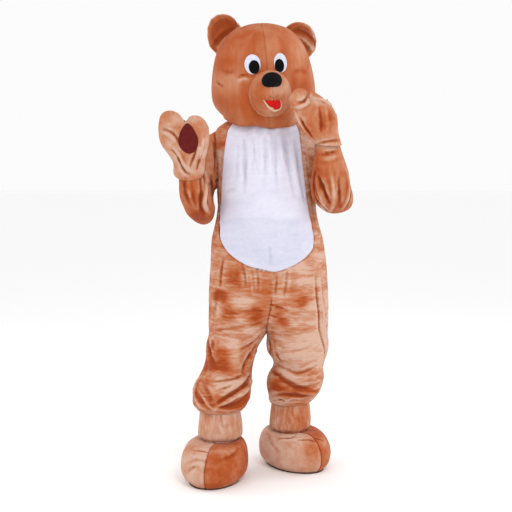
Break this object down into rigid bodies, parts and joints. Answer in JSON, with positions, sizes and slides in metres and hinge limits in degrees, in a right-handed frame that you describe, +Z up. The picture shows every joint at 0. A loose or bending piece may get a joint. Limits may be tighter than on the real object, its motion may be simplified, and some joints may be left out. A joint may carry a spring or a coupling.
{
  "type": "bear mascot costume",
  "caption": "Hollow bear mascot costume in its worn, waving pose: padded head, one-piece plush suit with a white belly, mitts and boots.",
  "frame": {"origin": "where the wearer holds the costume up: in the middle of the body, level with the shoulders, 1.400 m above the soles", "axes": "+Z is up, the costume faces -Y, and +X is the wearer's left"},
  "size_m": [0.7549, 0.5109, 1.8436],
  "materials": {
    "tan_plush": "short pile with a nap that catches the light",
    "white_plush": "short pile, matt",
    "black_plush": "short pile, matt",
    "maroon_felt": "felt, matt",
    "red_felt": "felt, matt",
    "cream_felt": "felt, matt",
    "white_felt": "felt, matt",
    "zip_tape": "woven tape",
    "boot_sole": "matt"
  },
  "bodies": {
    "root": {"ankle_cuff_left": "tan_plush", "ankle_cuff_right": "tan_plush", "back_left": "tan_plush", "back_right": "tan_plush", "belly": "white_plush", "boot_inner_left": "tan_plush", "boot_inner_right": "tan_plush", "boot_outer_left": "tan_plush", "boot_outer_right": "tan_plush", "boot_sole_left": "boot_sole", "boot_sole_right": "boot_sole", "ear_back_left": "tan_plush", "ear_back_right": "tan_plush", "ear_front_left": "tan_plush", "ear_front_right": "tan_plush", "eye_white_left": "white_felt", "eye_white_right": "white_felt", "face_left": "tan_plush", "face_right": "tan_plush", "front_left": "tan_plush", "front_right": "tan_plush", "head_back_left": "tan_plush", "head_back_right": "tan_plush", "lip": "cream_felt", "mitt_back_left": "tan_plush", "mitt_back_right": "tan_plush", "mouth": "red_felt", "muzzle_left": "tan_plush", "muzzle_right": "tan_plush", "nose": "black_plush", "palm_left": "tan_plush", "palm_right": "tan_plush", "paw_pad_left": "maroon_felt", "paw_pad_right": "maroon_felt", "pupil_left": "black_plush", "pupil_right": "black_plush", "sleeve_left": "tan_plush", "sleeve_right": "tan_plush", "zip": "zip_tape"}
  },
  "joints": []
}
